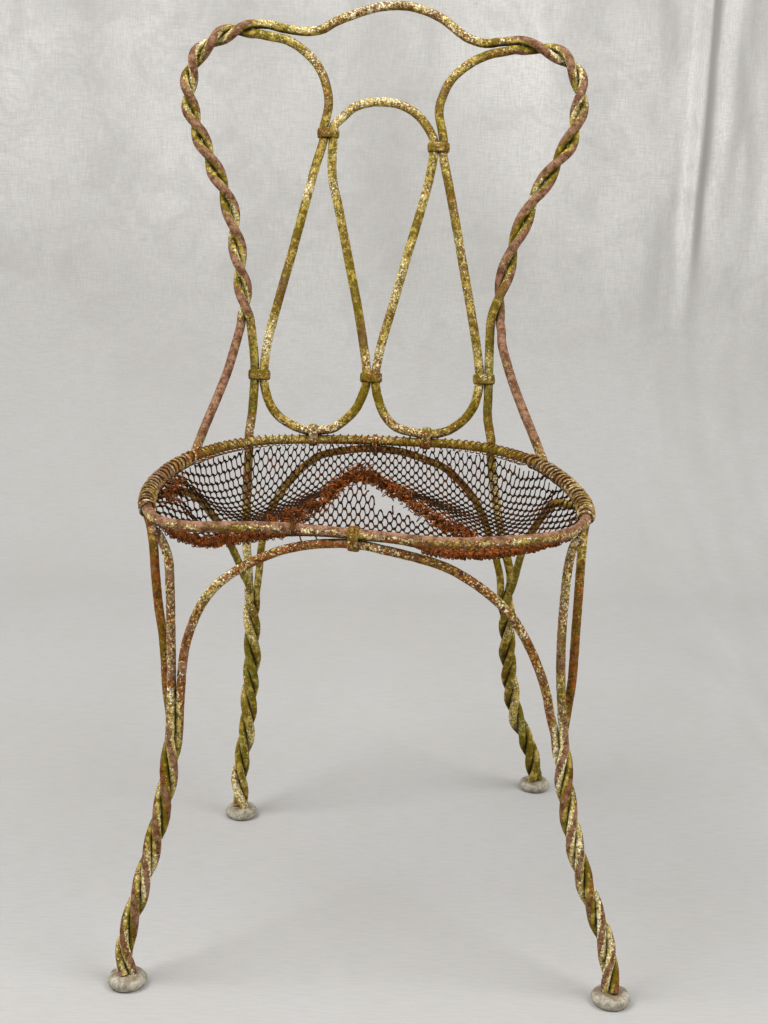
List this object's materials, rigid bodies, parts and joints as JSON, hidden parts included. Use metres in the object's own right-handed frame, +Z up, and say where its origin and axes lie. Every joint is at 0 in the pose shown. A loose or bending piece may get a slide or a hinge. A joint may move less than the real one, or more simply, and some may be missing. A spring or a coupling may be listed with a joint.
{
  "type": "wrought iron garden chair",
  "caption": "Wrought iron garden chair of bent and twisted round rods with a looped back, arched aprons, ball feet and a sagging wire net seat",
  "frame": {"origin": "middle of the bounding box, on the floor under the feet", "axes": "+Z up, +Y from the seat front to the back, +X to the right of somebody who looks at the chair from the front"},
  "size_m": [0.4734, 0.4952, 0.8835],
  "materials": {
    "collar_lower_centre": "worn brown iron with flakes of ochre paint",
    "collar_lower_left": "worn brown iron with flakes of ochre paint",
    "collar_lower_right": "worn brown iron with flakes of ochre paint",
    "collar_upper_left": "worn brown iron with flakes of ochre paint",
    "collar_upper_right": "worn brown iron with flakes of ochre paint",
    "crest_rod": "worn brown iron with flakes of ochre paint",
    "foot_front_left": "weathered grey cast metal, slightly pitted",
    "foot_front_right": "weathered grey cast metal, slightly pitted",
    "foot_rear_left": "weathered grey cast metal, slightly pitted",
    "foot_rear_right": "weathered grey cast metal, slightly pitted",
    "front_arch": "ochre paint worn through to brown iron",
    "front_clamp": "worn brown iron with flakes of ochre paint",
    "front_left_post": "ochre paint worn through to brown iron",
    "front_right_post": "worn brown iron with flakes of ochre paint",
    "left_arch": "old yellow-green paint flaking from rusty iron",
    "left_binding": "bare wire gone to dark brown rust",
    "left_u_tie": "worn brown iron with flakes of ochre paint",
    "rear_arch": "old yellow-green paint flaking from rusty iron",
    "rear_arch_tie": "worn brown iron with flakes of ochre paint",
    "right_arch": "ochre paint worn through to brown iron",
    "right_binding": "bare wire gone to dark brown rust",
    "right_u_tie": "worn brown iron with flakes of ochre paint",
    "scroll_centre": "ochre paint worn through to brown iron",
    "scroll_left": "old yellow-green paint flaking from rusty iron",
    "scroll_right": "old yellow-green paint flaking from rusty iron",
    "seat_net": "bare wire gone to dark brown rust",
    "seat_rim": "worn brown iron with flakes of ochre paint"
  },
  "bodies": {
    "root": {"collar_lower_centre": "collar_lower_centre", "collar_lower_left": "collar_lower_left", "collar_lower_right": "collar_lower_right", "collar_upper_left": "collar_upper_left", "collar_upper_right": "collar_upper_right", "crest_rod": "crest_rod", "foot_front_left": "foot_front_left", "foot_front_right": "foot_front_right", "foot_rear_left": "foot_rear_left", "foot_rear_right": "foot_rear_right", "front_arch": "front_arch", "front_clamp": "front_clamp", "front_left_post": "front_left_post", "front_right_post": "front_right_post", "left_arch": "left_arch", "left_binding": "left_binding", "left_u_tie": "left_u_tie", "rear_arch": "rear_arch", "rear_arch_tie": "rear_arch_tie", "right_arch": "right_arch", "right_binding": "right_binding", "right_u_tie": "right_u_tie", "scroll_centre": "scroll_centre", "scroll_left": "scroll_left", "scroll_right": "scroll_right", "seat_net": "seat_net", "seat_rim": "seat_rim"}
  },
  "joints": []
}
